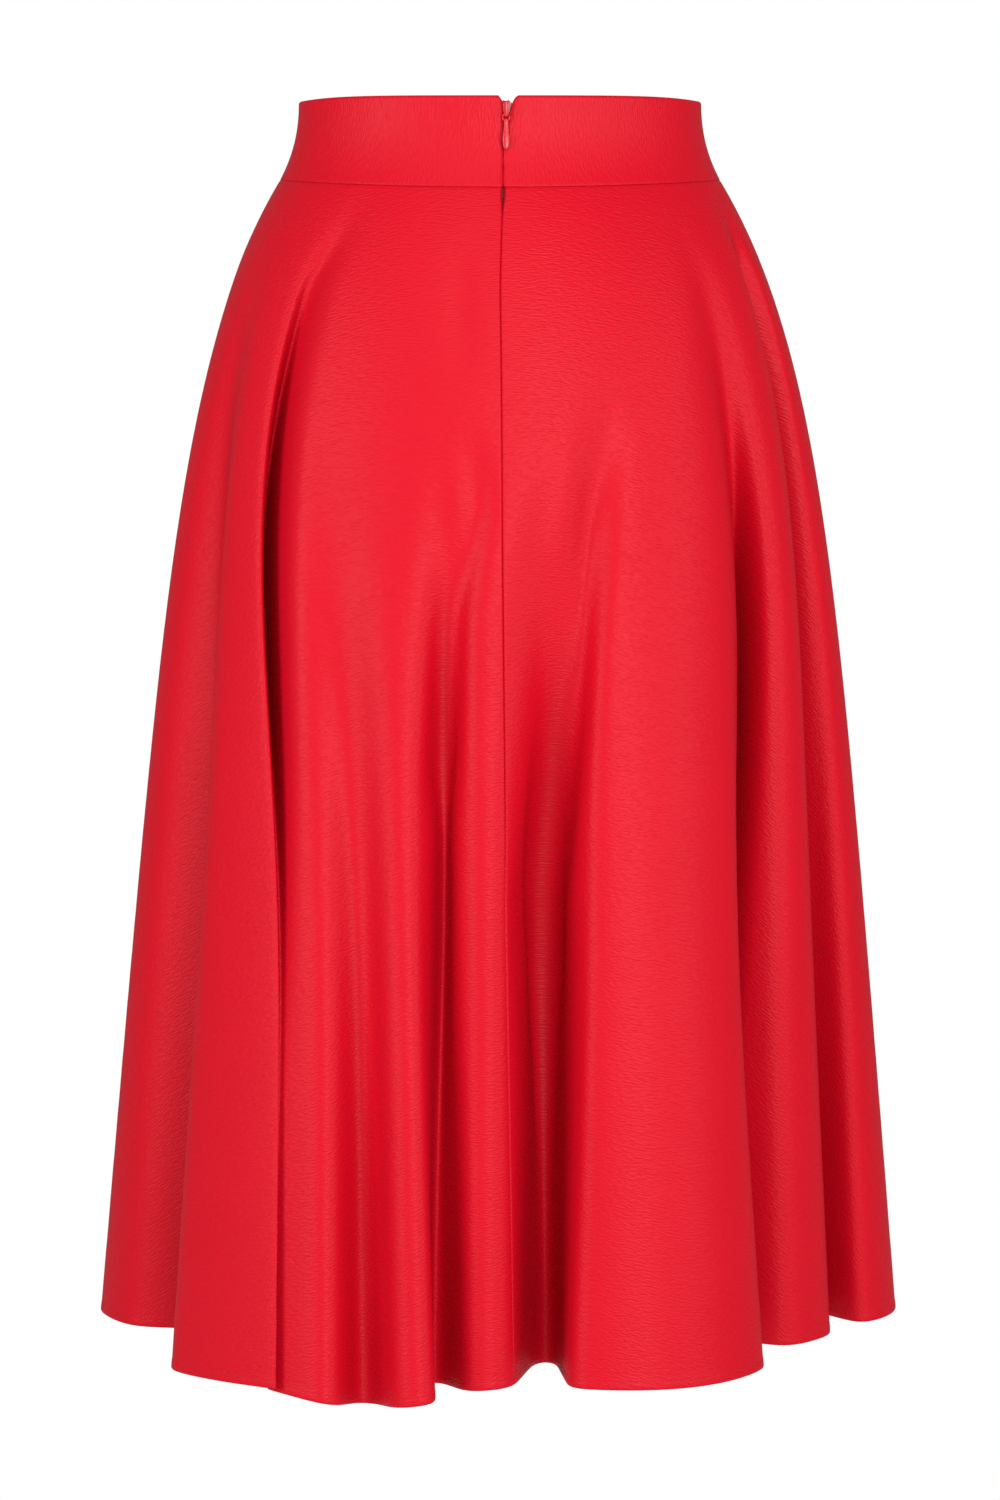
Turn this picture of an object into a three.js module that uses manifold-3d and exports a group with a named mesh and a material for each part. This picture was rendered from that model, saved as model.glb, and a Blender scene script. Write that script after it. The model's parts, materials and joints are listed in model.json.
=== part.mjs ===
// A flared skirt of red crepe satin on a shaped waistband, closed by a hidden zip at the centre back.
// Millimetres, +Z up. The zip is on the -Y side, the wearer faces +Y, and +X is the wearer's right.
// The origin is the middle of the waistband's ring, where the wearer's waist holds the skirt.
import * as THREE from 'three';
import { mergeVertices } from 'three/addons/utils/BufferGeometryUtils.js';
import Module from 'manifold-3d';

const wasm = await Module();
wasm.setup();

// ---- Driving dimensions ----

const SEAM_GAP = 0.3; // between two pieces that are sewn together
const SKIRT_WALL = 1.2;
const BAND_WALL = 2; // the band is double cloth with stiffening in it

// The waistband: rings that are ellipses, wider at the seam than at the waist
const WAIST = { x: 127, y: 97, z: 27 }; // half axes of the top edge, and its height at the back
const SEAM = { x: 139, y: 108, z: -29 }; // the same for the seam between band and skirt
const BAND_CURVE = 2.2; // the band is upright at the top and flares late
const BAND_HEIGHT = WAIST.z - SEAM.z;
const SIDE_DIP = 3.5; // how far the top edge drops at the sides
const FRONT_DIP = 4.5; // and at the front
const SEAM_SIDE_LIFT = 3.5; // the seam rides up at the sides

// The skirt: how the hips and the flare carry its mean ring outwards
const LENGTH = 725; // seam to hem, straight down
const HIP = { x: 58.5, y: 52, depth: 110 };
const FLARE = 0.078; // outwards for each millimetre down
const CUT_RADIUS = 248; // of the half circle's waist edge
const FOLD_EASE = 0.05; // how softly a fold sets in
const FOLD_GROWTH = 0.85; // and how its depth then grows
const TUCK_REACH = 150; // up and down from where a tuck is tightest
const SHIFT_REACH = 200; // up and down from where a fold is shifted furthest
const SHIFT_WIDTH = 70; // round the skirt to each side of a shifted fold
const TUCK_SET_IN = 60; // tucks and shifts set in over this depth
const TOP_SOFTENING = 30; // smoothing passes at the seam, none at the hem
const CORNER_SOFTENING = 9; // smoothing passes on the hem's corners

// The folds, as they stand at the hem in plan, a row for each flute from the centre back round to +X.
// edges are the flute's two edges, bulge is how far its crest stands out between them, and valley is the
// middle of the fold that follows, whose floor is flat for the given width. drop is how much lower the
// hem hangs, and start how far below the seam the cloth breaks, both at the two edges and in the valley.
// tuck is how much deeper than an even fold the valley is where it is tightest, how wide the tuck is
// there, how far below the seam that is, how far it slips sideways under its neighbour, and how far
// round its upper end lies. shift is how far round the whole fold lies from its place, and at what depth.
const FLUTES = [
  { // centre back
    edges: [[-20, -213], [8, -209]], bulge: 3, valley: [28, -130], floor: 13,
    drop: [3, 1, 4], start: [190, 190, 150], tuck: [14, 16, 520, 0, -8], shift: [0, 0],
  },
  { // right back
    edges: [[42, -217], [167, -156]], bulge: 31, valley: [130, -84], floor: 16,
    drop: [0, 0, 0], start: [190, 60, 20], tuck: [64, 11, 370, 46, 0], shift: [18, 250],
  },
  { // right hip
    edges: [[180, -104], [213, -64]], bulge: 3, valley: [194, 4], floor: 14,
    drop: [0, 0, 0], start: [50, 40, 30], tuck: [58, 9, 260, 14, 0], shift: [0, 0],
  },
  { // right side
    edges: [[231, -38], [258, 24]], bulge: 9, valley: [175, 46], floor: 25,
    drop: [0, 0, 0], start: [40, 40, 40], tuck: [8, 12, 300, 0, 0], shift: [0, 0],
  },
  { // right fore side
    edges: [[240, 86], [206, 140]], bulge: 4, valley: [145, 109], floor: 28,
    drop: [0, 0, 0], start: [60, 70, 40], tuck: [24, 11, 300, -8, 0], shift: [0, 0],
  },
  { // right front
    edges: [[160, 190], [104, 216]], bulge: 4, valley: [79, 142], floor: 26,
    drop: [0, 0, 0], start: [120, 140, 110], tuck: [8, 12, 400, 0, 0], shift: [0, 0],
  },
  { // centre front
    edges: [[56, 226], [-8, 230]], bulge: 4, valley: [-22, 148], floor: 22,
    drop: [0, 0, 0], start: [180, 180, 150], tuck: [10, 12, 430, 0, 0], shift: [0, 0],
  },
  { // left centre front
    edges: [[-50, 228], [-116, 212]], bulge: 5, valley: [-110, 136], floor: 25,
    drop: [0, 0, 0], start: [160, 130, 60], tuck: [24, 11, 320, 6, 0], shift: [0, 0],
  },
  { // left front
    edges: [[-168, 180], [-214, 128]], bulge: 4, valley: [-161, 87], floor: 26,
    drop: [0, 0, 0], start: [90, 70, 60], tuck: [18, 11, 280, 6, 0], shift: [0, 0],
  },
  { // left fore side
    edges: [[-240, 84], [-248, 54]], bulge: 4, valley: [-183, 33], floor: 26,
    drop: [0, 0, 0], start: [60, 50, 40], tuck: [8, 12, 300, 0, 0], shift: [0, 0],
  },
  { // left side
    edges: [[-262, 14], [-234, -46]], bulge: 5, valley: [-178, -64], floor: 22,
    drop: [0, 0, 0], start: [50, 50, 50], tuck: [4, 12, 300, 0, 0], shift: [0, 0],
  },
  { // left hip
    edges: [[-209, -134], [-131, -215]], bulge: 6, valley: [-143, -198], floor: 8,
    drop: [7, 1, 5], start: [50, 50, 20], tuck: [42, 10, 250, -44, 0], shift: [-24, 170],
  },
  { // left back
    edges: [[-117, -218], [-100, -224]], bulge: 2, valley: [-81, -189], floor: 12,
    drop: [7, 9, 16], start: [90, 150, 140], tuck: [0, 12, 400, 0, 0], shift: [0, 0],
  },
  { // left centre back
    edges: [[-63, -230], [-37, -230]], bulge: 3, valley: [-41, -170], floor: 9,
    drop: [9, 6, 7], start: [190, 210, 150], tuck: [15, 12, 430, 0, 0], shift: [0, 0],
  },
];
const CENTRE_BACK_AT_HEM = [13, -200];
const CREST_STEPS = 6;

// How finely the skirt is divided
const FINE_COLUMNS = 640;
const COLUMN_STEP = 4; // every fourth fine column is built
const SKIRT_ROWS = 11;
const ROW_CROWDING = 1.5; // rows lie closer together near the seam

// The two lips of the back opening, a row for each height below the top edge
const LIPS = [
  { below: 0, left: -1, right: 11.4 },
  { below: 1.2, left: -0.2, right: 9.6 },
  { below: 4, left: 1.9, right: 7.8 },
  { below: 11, left: 1.8, right: 6 },
  { below: 22, left: 1.8, right: 3.4 },
  { below: 34, left: 1.7, right: 2.1 },
  { below: 45, left: 1.7, right: 2 },
  { below: BAND_HEIGHT, left: 1.7, right: 2 },
];
const BAND_BACK_COLUMNS = 14;
const BAND_FRONT_COLUMNS = 28;

// The zip. below is measured down from the band's top edge, and depth inwards from the cloth's outer face.
const ZIP_X = 3.7; // the slider's middle
const ZIP_LENGTH = 200;
const STRIP_ROWS = 20;
const STRIP_COLUMNS = 3;
const TAPE = { below: 3, depth: BAND_WALL + 0.75, width: 12, thick: 1 };
const COIL = { below: 15.2, depth: TAPE.depth + TAPE.thick + SEAM_GAP, width: 4.2, thick: 1.6 };
const SLIDER = { width: 7.6, height: 10.4, thick: 3, depth: COIL.depth + SEAM_GAP, corner: 1.6, taper: 0.7 };
const BRIDGE = { top: 23.6, bottom: 13.7, width: 2, bar: 0.9, corner: 0.8, play: 0.5, root: 0.8 };
const HINGE_Z = 15.75;
const HINGE_STANDOFF = 1.6; // the hinge line stands this far out of the cloth
const RING = { width: 5.1, height: 5.4, wire: 0.9 };
const PULL_TILT = 8; // degrees: the pull lies along the flaring band
const DROP_START = 3.2; // below the hinge line
const DROP_LENGTH = 19.4;
const DROP_FLATNESS = 0.4;

// The drop's half widths, a row for each distance down from its neck's top
const DROP_PROFILE = [
  { down: 0, half: 0.9 },
  { down: 0.6, half: 1.3 },
  { down: 4, half: 1.3 },
  { down: 7, half: 1.65 },
  { down: 10, half: 2.1 },
  { down: 12.5, half: 2.3 },
  { down: 15, half: 2.2 },
  { down: 17.2, half: 1.75 },
  { down: 18.8, half: 1 },
];

// ---- Materials ----

function satin() {
  return new THREE.MeshStandardMaterial({ color: 0xe62736, roughness: 0.45, metalness: 0 });
}

function tapeCloth() {
  return new THREE.MeshStandardMaterial({ color: 0xc81e2c, roughness: 0.8, metalness: 0 });
}

function enamel() {
  return new THREE.MeshStandardMaterial({ color: 0xe8303c, roughness: 0.25, metalness: 0.1 });
}

function piece(name, geometry, material) {
  const mesh = new THREE.Mesh(geometry, material);
  mesh.name = name;
  return mesh;
}

// ---- Rings ----

// The point of an ellipse at an angle from the back, which turns towards +X.
function onEllipse(halfX, halfY, angle) {
  return [halfX * Math.sin(angle), -halfY * Math.cos(angle)];
}

// Half axes of the skirt's mean ring at a depth below the seam.
function meanRing(depth) {
  const hip = 1 - Math.exp(-depth / HIP.depth);
  return {
    x: SEAM.x + HIP.x * hip + FLARE * depth,
    y: SEAM.y + HIP.y * hip + FLARE * depth,
  };
}

// Half axes of the band's ring at a share of the way from its top edge to the seam.
function bandRing(share) {
  const out = share ** BAND_CURVE;
  return {
    x: THREE.MathUtils.lerp(WAIST.x, SEAM.x, out),
    y: THREE.MathUtils.lerp(WAIST.y, SEAM.y, out),
  };
}

function topEdgeHeight(angle) {
  const inFront = Math.cos(angle) < 0;
  const dip = inFront
    ? SIDE_DIP + (FRONT_DIP - SIDE_DIP) * Math.cos(angle) ** 2
    : SIDE_DIP * Math.sin(angle) ** 6;
  return WAIST.z - dip;
}

function seamHeight(angle) {
  return SEAM.z + SEAM_SIDE_LIFT * Math.sin(angle) ** 2;
}

// The angles at which equal lengths are marked off round the seam, starting at the back.
function evenAngles(count) {
  const steps = 2000;
  const lengths = [0];
  let last = onEllipse(SEAM.x, SEAM.y, 0);
  for (let i = 1; i <= steps; i++) {
    const here = onEllipse(SEAM.x, SEAM.y, (2 * Math.PI * i) / steps);
    lengths.push(lengths[i - 1] + Math.hypot(here[0] - last[0], here[1] - last[1]));
    last = here;
  }
  const angles = [];
  let i = 0;
  for (let k = 0; k < count; k++) {
    const want = (lengths[steps] * k) / count;
    while (lengths[i + 1] < want) i++;
    const part = (want - lengths[i]) / (lengths[i + 1] - lengths[i]);
    angles.push((2 * Math.PI * (i + part)) / steps);
  }
  return angles;
}

// ---- The skirt's folds ----

// One pass takes each point a quarter of the way to each of its neighbours round the ring.
function smooth(ring, passes) {
  let now = ring;
  for (let pass = 0; pass < passes; pass++) {
    const count = now.length;
    now = now.map((point, i) => {
      const before = now[(i + count - 1) % count];
      const after = now[(i + 1) % count];
      return point.map((value, k) => (before[k] + 2 * value + after[k]) / 4);
    });
  }
  return now;
}

// The hem's outline as corners: [x, y, start, drop] along each crest and across each valley's floor.
function hemCorners() {
  const corners = [];
  for (const { edges, bulge, valley, floor, drop, start } of FLUTES) {
    const [first, last] = edges;
    const along = [last[0] - first[0], last[1] - first[1]];
    const chord = Math.hypot(...along);
    const out = [along[1] / chord, -along[0] / chord];
    for (let step = 0; step <= CREST_STEPS; step++) {
      const part = step / CREST_STEPS;
      const rise = 4 * part * (1 - part) * bulge;
      corners.push([
        first[0] + along[0] * part + out[0] * rise,
        first[1] + along[1] * part + out[1] * rise,
        THREE.MathUtils.lerp(start[0], start[1], part),
        THREE.MathUtils.lerp(drop[0], drop[1], part),
      ]);
    }
    const [x, y] = valley;
    const half = floor / 2 / Math.hypot(x, y);
    corners.push([x + y * half, y - x * half, start[2], drop[2]]);
    corners.push([x - y * half, y + x * half, start[2], drop[2]]);
  }
  return corners;
}

function nearestColumn(outline, [x, y]) {
  const away = outline.map((point) => Math.hypot(point[0] - x, point[1] - y));
  return away.indexOf(Math.min(...away));
}

// The same outline as evenly spaced points with rounded corners, from the centre back seam.
function hemOutline() {
  const corners = hemCorners();
  const closed = [...corners, corners[0]];
  const lengths = [0];
  for (let i = 1; i < closed.length; i++) {
    const [a, b] = [closed[i - 1], closed[i]];
    lengths.push(lengths[i - 1] + Math.hypot(b[0] - a[0], b[1] - a[1]));
  }
  const points = [];
  let i = 0;
  for (let k = 0; k < FINE_COLUMNS; k++) {
    const want = (lengths.at(-1) * k) / FINE_COLUMNS;
    while (lengths[i + 1] < want) i++;
    const part = (want - lengths[i]) / (lengths[i + 1] - lengths[i]);
    points.push(closed[i].map((value, n) => THREE.MathUtils.lerp(value, closed[i + 1][n], part)));
  }
  const plan = smooth(points.map((point) => point.slice(0, 2)), CORNER_SOFTENING);
  const hang = smooth(points.map((point) => point.slice(2)), 2 * CORNER_SOFTENING);
  const outline = plan.map((point, k) => [...point, ...hang[k]]);
  const first = nearestColumn(outline, CENTRE_BACK_AT_HEM);
  return [...outline.slice(first), ...outline.slice(0, first)];
}

const hem = hemOutline();
const valleyColumns = FLUTES.map((flute) => nearestColumn(hem, flute.valley));
const seamAngles = evenAngles(FINE_COLUMNS);
const hemRing = meanRing(LENGTH);

// 1 at the middle of a bell, falling away over its reach.
function bell(distance, reach) {
  return Math.exp(-((distance / reach) ** 2));
}

// How far the tucks and shifted folds move a column, inwards and onwards round the ring.
function tuckAndShift(column, depth) {
  const pitch = ((CUT_RADIUS + depth) * Math.PI) / FINE_COLUMNS;
  const setIn = Math.min(1, depth / TUCK_SET_IN);
  let inwards = 0;
  let onwards = 0;
  FLUTES.forEach(({ tuck, shift }, i) => {
    const [deep, width, tightest, slip, aside] = tuck;
    const [distance, furthest] = shift;
    const columnsAway = THREE.MathUtils.euclideanModulo(
      column - valleyColumns[i] + FINE_COLUMNS / 2,
      FINE_COLUMNS,
    ) - FINE_COLUMNS / 2;
    const away = columnsAway * pitch;
    const held = bell(depth - tightest, TUCK_REACH) * bell(away - aside * (1 - depth / LENGTH), width);
    inwards += held * deep;
    onwards += held * slip + bell(depth - furthest, SHIFT_REACH) * bell(away, SHIFT_WIDTH) * distance;
  });
  return [inwards * setIn, onwards * setIn];
}

// One ring of the skirt's outer face, at a share of the way from the seam to the hem.
function skirtSection(share) {
  const depth = LENGTH * share;
  const ring = meanRing(depth);
  const mean = seamAngles.map((angle) => onEllipse(ring.x, ring.y, angle));
  const folds = hem.map(([x, y, start], k) => {
    const reached = THREE.MathUtils.clamp((depth - start) / (LENGTH - start), 0, 1);
    const strength = ((1 + FOLD_EASE) * reached ** (1 + FOLD_GROWTH)) / (reached + FOLD_EASE);
    return [
      ((x * ring.x) / hemRing.x - mean[k][0]) * strength,
      ((y * ring.y) / hemRing.y - mean[k][1]) * strength,
    ];
  });
  const soft = smooth(folds, Math.round(TOP_SOFTENING * (1 - share) ** 1.5));
  return soft.map(([x, y], k) => {
    const [meanX, meanY] = mean[k];
    const [nextX, nextY] = mean[(k + 1) % FINE_COLUMNS];
    const [inwards, onwards] = tuckAndShift(k, depth);
    const wave = (seamHeight(seamAngles[k]) - SEAM.z) * (1 - share);
    const z = SEAM.z + wave - SEAM_GAP / 2 - depth - hem[k][3] * share ** 2;
    return new THREE.Vector3(meanX + x, meanY + y, z)
      .addScaledVector(new THREE.Vector3(-meanX, -meanY, 0).normalize(), inwards)
      .addScaledVector(new THREE.Vector3(nextX - meanX, nextY - meanY, 0).normalize(), onwards);
  });
}

function skirtRings() {
  const rings = [];
  for (let row = 0; row <= SKIRT_ROWS; row++) {
    const section = skirtSection((row / SKIRT_ROWS) ** ROW_CROWDING);
    rings.push(section.filter((_, k) => k % COLUMN_STEP === 0));
  }
  return rings;
}

// ---- Walls ----

// Closed rings of points, from the top down, moved inwards at right angles to the surface they span.
function insetRings(rings, depth) {
  const low = rings.length - 1;
  return rings.map((ring, i) =>
    ring.map((point, j) => {
      const across = new THREE.Vector3().subVectors(ring[(j + 1) % ring.length], ring.at(j - 1));
      const up = new THREE.Vector3().subVectors(rings[Math.max(i - 1, 0)][j], rings[Math.min(i + 1, low)][j]);
      return point.clone().addScaledVector(across.cross(up).normalize(), -depth);
    }),
  );
}

// A point on an elliptical ring at height z, or a given depth inside it.
function ringPoint(ring, angle, z, depth) {
  const [x, y] = onEllipse(ring.x, ring.y, angle);
  const inwards = new THREE.Vector3(-x / ring.x ** 2, -y / ring.y ** 2, 0).setLength(depth);
  return new THREE.Vector3(x, y, z).add(inwards);
}

// The closed wall between an outer and an inner grid of points.
function wallGeometry(outer, inner) {
  const rows = outer.length;
  const columns = outer[0].length;
  const positions = [...outer.flat(), ...inner.flat()].flatMap((point) => point.toArray());
  const front = (i, j) => i * columns + j;
  const back = (i, j) => rows * columns + front(i, j);
  const index = [];
  const quad = (a, b, c, d) => index.push(a, b, c, a, c, d);
  for (let i = 0; i < rows - 1; i++) {
    for (let j = 0; j < columns - 1; j++) {
      quad(front(i, j), front(i + 1, j), front(i + 1, j + 1), front(i, j + 1));
      quad(back(i, j), back(i, j + 1), back(i + 1, j + 1), back(i + 1, j));
    }
    const end = columns - 1;
    quad(back(i, 0), back(i + 1, 0), front(i + 1, 0), front(i, 0));
    quad(front(i, end), front(i + 1, end), back(i + 1, end), back(i, end));
  }
  for (let j = 0; j < columns - 1; j++) {
    const low = rows - 1;
    quad(front(0, j), front(0, j + 1), back(0, j + 1), back(0, j));
    quad(front(low, j), back(low, j), back(low, j + 1), front(low, j + 1));
  }
  const geometry = new THREE.BufferGeometry();
  geometry.setAttribute('position', new THREE.Float32BufferAttribute(positions, 3));
  geometry.setIndex(index);
  return geometry;
}

// ---- Sewn pieces ----

const rings = skirtRings();
const ringsInside = insetRings(rings, SKIRT_WALL);

// Moves an end point half a seam's gap towards the point next to it.
function holdBack(end, next) {
  end.add(new THREE.Vector3().subVectors(next, end).setLength(SEAM_GAP / 2));
}

// A panel of the skirt from one column of its rings to another, held back from the seams at its ends.
function skirtPanel(name, firstColumn, lastColumn) {
  const cut = (row) => {
    const points = [];
    for (let j = firstColumn; j <= lastColumn; j++) points.push(row[j % row.length].clone());
    holdBack(points[0], points[1]);
    holdBack(points.at(-1), points.at(-2));
    return points;
  };
  return piece(name, wallGeometry(rings.map(cut), ringsInside.map(cut)), satin());
}

// The angle on a ring at which a point lies a given distance to +X of the middle of the back.
function backAngle(ring, x) {
  return Math.asin(x / ring.x);
}

// A stretch of the waistband. start and end give its angles for a row of LIPS and that row's ring.
function bandPiece(name, columns, start, end) {
  const face = (depth) =>
    LIPS.map((lip) => {
      const share = lip.below / BAND_HEIGHT;
      const ring = bandRing(share);
      const row = [];
      for (let j = 0; j <= columns; j++) {
        const angle = THREE.MathUtils.lerp(start(lip, ring), end(lip, ring), j / columns);
        const z = THREE.MathUtils.lerp(topEdgeHeight(angle), seamHeight(angle) + SEAM_GAP / 2, share);
        row.push(ringPoint(ring, angle, z, depth));
      }
      return row;
    });
  return piece(name, wallGeometry(face(0), face(BAND_WALL)), satin());
}

function waistband() {
  const gapAngle = SEAM_GAP / 2 / WAIST.y;
  const quarter = Math.PI / 2;
  return [
    bandPiece(
      'waistband_back_right',
      BAND_BACK_COLUMNS,
      (lip, ring) => backAngle(ring, lip.right),
      () => quarter - gapAngle,
    ),
    bandPiece(
      'waistband_front',
      BAND_FRONT_COLUMNS,
      () => quarter + gapAngle,
      () => 3 * quarter - gapAngle,
    ),
    bandPiece(
      'waistband_back_left',
      BAND_BACK_COLUMNS,
      () => gapAngle - quarter,
      (lip, ring) => backAngle(ring, lip.left),
    ),
  ];
}

// ---- The zip ----

// The lips' places at a height below the top edge.
function lipsAt(below) {
  const i = LIPS.findIndex((lip) => lip.below >= below);
  if (i < 0) return LIPS.at(-1);
  if (i === 0) return LIPS[0];
  const part = (below - LIPS[i - 1].below) / (LIPS[i].below - LIPS[i - 1].below);
  return {
    left: THREE.MathUtils.lerp(LIPS[i - 1].left, LIPS[i].left, part),
    right: THREE.MathUtils.lerp(LIPS[i - 1].right, LIPS[i].right, part),
  };
}

// A point a given depth inside the back's outer face, at x and z.
function insideBack(x, z, depth) {
  const ring = z > SEAM.z ? bandRing((WAIST.z - z) / BAND_HEIGHT) : meanRing(SEAM.z - z);
  return ringPoint(ring, backAngle(ring, x), z, depth);
}

// A strip down the inside of the back. edges gives its two sides, as x, for a height below the top edge.
function backStrip(name, strip, edges) {
  const face = (depth) => {
    const grid = [];
    for (let i = 0; i <= STRIP_ROWS; i++) {
      const below = THREE.MathUtils.lerp(strip.below, ZIP_LENGTH, i / STRIP_ROWS);
      const [from, to] = edges(lipsAt(below));
      const row = [];
      for (let j = 0; j <= STRIP_COLUMNS; j++) {
        const x = THREE.MathUtils.lerp(from, to, j / STRIP_COLUMNS);
        row.push(insideBack(x, WAIST.z - below, depth));
      }
      grid.push(row);
    }
    return grid;
  };
  return piece(name, wallGeometry(face(strip.depth), face(strip.depth + strip.thick)), tapeCloth());
}

function tapesAndCoil() {
  const behindLip = 0.4;
  return [
    backStrip('zip_tape_left', TAPE, ({ left }) => [left - behindLip - TAPE.width, left - behindLip]),
    backStrip('zip_tape_right', TAPE, ({ right }) => [right + behindLip, right + behindLip + TAPE.width]),
    backStrip('zip_coil', COIL, ({ left, right }) => [
      (left + right - COIL.width) / 2,
      (left + right + COIL.width) / 2,
    ]),
  ];
}

// A geometry as a solid that can be joined to another.
function solidOf(geometry) {
  const bare = geometry.clone();
  bare.deleteAttribute('normal');
  bare.deleteAttribute('uv');
  const merged = mergeVertices(bare, 1e-4);
  return new wasm.Manifold(
    new wasm.Mesh({
      numProp: 3,
      vertProperties: merged.attributes.position.array,
      triVerts: new Uint32Array(merged.index.array),
    }),
  );
}

function joined(first, second) {
  const mesh = solidOf(first).add(solidOf(second)).getMesh();
  const geometry = new THREE.BufferGeometry();
  geometry.setAttribute('position', new THREE.BufferAttribute(mesh.vertProperties, 3));
  geometry.setIndex(new THREE.BufferAttribute(mesh.triVerts, 1));
  return geometry;
}

const sliderBackY = insideBack(ZIP_X, HINGE_Z, 0).y;

// The slider's body, behind the tapes: a shield, broad at the top and narrower where the coil leaves it.
function sliderBody() {
  const half = SLIDER.width / 2;
  const shield = new THREE.Shape();
  shield.moveTo(-half * SLIDER.taper, 0);
  shield.lineTo(half * SLIDER.taper, 0);
  shield.lineTo(half, SLIDER.height - SLIDER.corner);
  shield.lineTo(half - SLIDER.corner, SLIDER.height);
  shield.lineTo(SLIDER.corner - half, SLIDER.height);
  shield.lineTo(-half, SLIDER.height - SLIDER.corner);
  const body = new THREE.ExtrudeGeometry(shield, { depth: SLIDER.thick, bevelEnabled: false });
  body.rotateX(Math.PI / 2);
  body.translate(ZIP_X, sliderBackY + SLIDER.depth + SLIDER.thick, BRIDGE.top - SLIDER.height);
  return body;
}

// The bridge: a hoop from the slider's body out between the lips, with the pull's ring in its lower corner.
function sliderBridge() {
  const outer = sliderBackY - HINGE_STANDOFF - RING.wire / 2 - BRIDGE.play - BRIDGE.bar;
  const inner = sliderBackY + SLIDER.depth + BRIDGE.root;
  const hoop = new THREE.Shape();
  hoop.moveTo(inner, BRIDGE.bottom);
  hoop.lineTo(outer + BRIDGE.corner, BRIDGE.bottom);
  hoop.lineTo(outer, BRIDGE.bottom + BRIDGE.corner);
  hoop.lineTo(outer, BRIDGE.top - BRIDGE.corner);
  hoop.lineTo(outer + BRIDGE.corner, BRIDGE.top);
  hoop.lineTo(inner, BRIDGE.top);
  hoop.lineTo(inner, BRIDGE.top - BRIDGE.bar);
  hoop.lineTo(outer + BRIDGE.bar, BRIDGE.top - BRIDGE.bar);
  hoop.lineTo(outer + BRIDGE.bar, BRIDGE.bottom + BRIDGE.bar);
  hoop.lineTo(inner, BRIDGE.bottom + BRIDGE.bar);
  const bridge = new THREE.ExtrudeGeometry(hoop, { depth: BRIDGE.width, bevelEnabled: false });
  bridge.rotateX(Math.PI / 2);
  bridge.rotateZ(Math.PI / 2);
  bridge.translate(ZIP_X - BRIDGE.width / 2, 0, 0);
  return bridge;
}

// The pull: a wire ring on the bridge and a flattened drop, hung from the hinge line.
function pull() {
  const across = RING.width - RING.wire;
  const down = RING.height - RING.wire;
  const ring = new THREE.TorusGeometry(across / 2, RING.wire / 2, 8, 20);
  ring.rotateX(Math.PI / 2);
  ring.scale(1, 1, down / across);
  ring.translate(0, 0, -down / 2);
  const profile = [new THREE.Vector2(0, -DROP_LENGTH)];
  for (const row of [...DROP_PROFILE].reverse()) {
    profile.push(new THREE.Vector2(row.half, -row.down));
  }
  profile.push(new THREE.Vector2(0, 0));
  const drop = new THREE.LatheGeometry(profile, 16);
  drop.rotateX(Math.PI / 2);
  drop.scale(1, DROP_FLATNESS, 1);
  drop.translate(0, 0, -DROP_START);
  const hung = new THREE.Group();
  hung.add(piece('zip_pull', joined(ring, drop), enamel()));
  hung.position.set(ZIP_X, sliderBackY - HINGE_STANDOFF, HINGE_Z);
  hung.rotation.x = -THREE.MathUtils.degToRad(PULL_TILT);
  return hung;
}

// ---- The skirt ----

const skirt = new THREE.Group();
const columns = FINE_COLUMNS / COLUMN_STEP;
skirt.add(skirtPanel('skirt_back_right', 0, columns / 4));
skirt.add(skirtPanel('skirt_front', columns / 4, (3 * columns) / 4));
skirt.add(skirtPanel('skirt_back_left', (3 * columns) / 4, columns));
skirt.add(...waistband());
skirt.add(...tapesAndCoil());
skirt.add(piece('zip_slider', joined(sliderBody(), sliderBridge()), enamel()));
skirt.add(pull());

export default skirt;
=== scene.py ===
"""A flared red satin skirt on a shaped waistband, seen from the back, where its hidden zip is.

Sizes in the tables are in millimetres and are turned into metres as meshes are made. +Z is up, -Y is the
skirt's back and +X is the wearer's right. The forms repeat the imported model's with finer points, and add the
seams, hem, small troughs, weave and zip details that it leaves out.
"""
import json
import math

import bpy
import numpy as np
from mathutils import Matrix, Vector


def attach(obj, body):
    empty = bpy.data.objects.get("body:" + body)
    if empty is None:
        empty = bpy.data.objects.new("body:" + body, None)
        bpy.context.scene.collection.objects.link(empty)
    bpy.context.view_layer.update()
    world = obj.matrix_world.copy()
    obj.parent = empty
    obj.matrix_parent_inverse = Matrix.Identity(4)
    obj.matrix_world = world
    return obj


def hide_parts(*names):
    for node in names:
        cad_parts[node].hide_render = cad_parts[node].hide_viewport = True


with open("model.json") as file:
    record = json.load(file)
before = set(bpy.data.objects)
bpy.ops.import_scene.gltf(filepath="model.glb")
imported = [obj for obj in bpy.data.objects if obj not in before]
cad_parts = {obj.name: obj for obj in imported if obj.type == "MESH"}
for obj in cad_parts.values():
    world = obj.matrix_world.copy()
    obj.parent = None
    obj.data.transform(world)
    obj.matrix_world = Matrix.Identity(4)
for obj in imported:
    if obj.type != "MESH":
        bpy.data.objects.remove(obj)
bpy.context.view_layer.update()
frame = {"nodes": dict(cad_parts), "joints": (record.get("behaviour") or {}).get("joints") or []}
MM = 0.001
GARMENT = "garment"

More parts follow.
